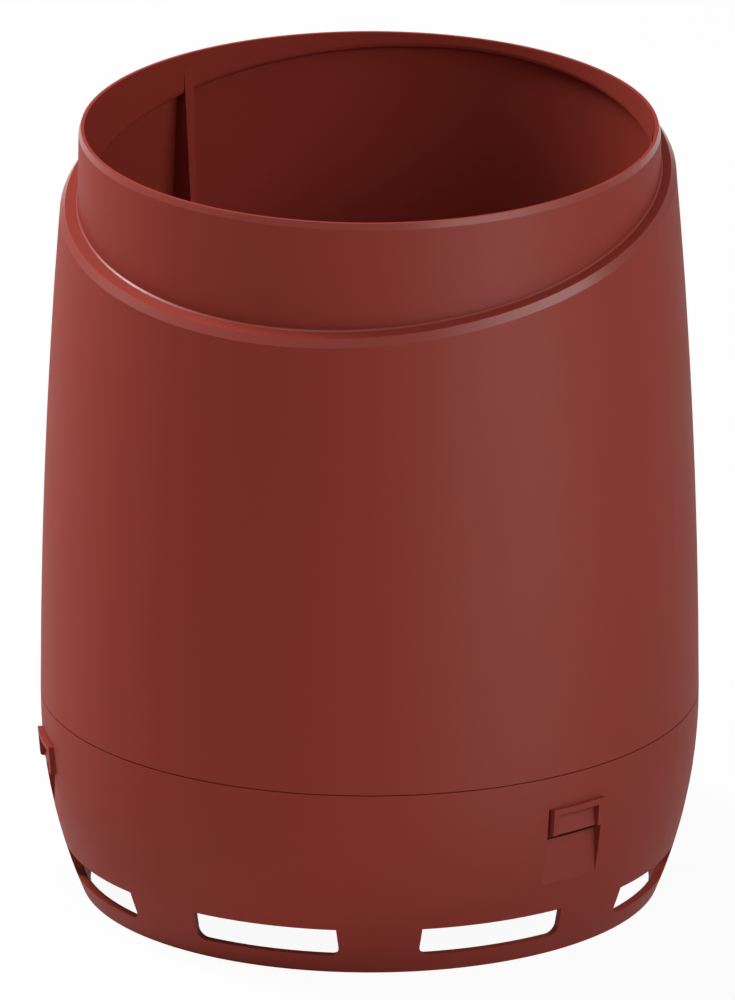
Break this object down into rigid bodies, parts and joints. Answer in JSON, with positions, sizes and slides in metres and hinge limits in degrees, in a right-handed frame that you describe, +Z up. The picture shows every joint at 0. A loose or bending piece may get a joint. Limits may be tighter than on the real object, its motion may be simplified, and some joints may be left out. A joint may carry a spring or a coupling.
{
  "type": "roof vent pipe",
  "caption": "Barrel-shaped roof vent pipe in oxide-red plastic, with a round collar on a tilted shoulder and a slotted lower skirt.",
  "frame": {"origin": "on the hood's axis, in the plane of its bottom rim", "axes": "+Z up along the axis, towards the collar; -Y the front, where the shoulder is lowest"},
  "size_m": [0.181, 0.182, 0.2185],
  "materials": {
    "red_plastic": "satin"
  },
  "bodies": {
    "root": {"upper_jacket": "red_plastic", "lower_skirt": "red_plastic"}
  },
  "joints": []
}
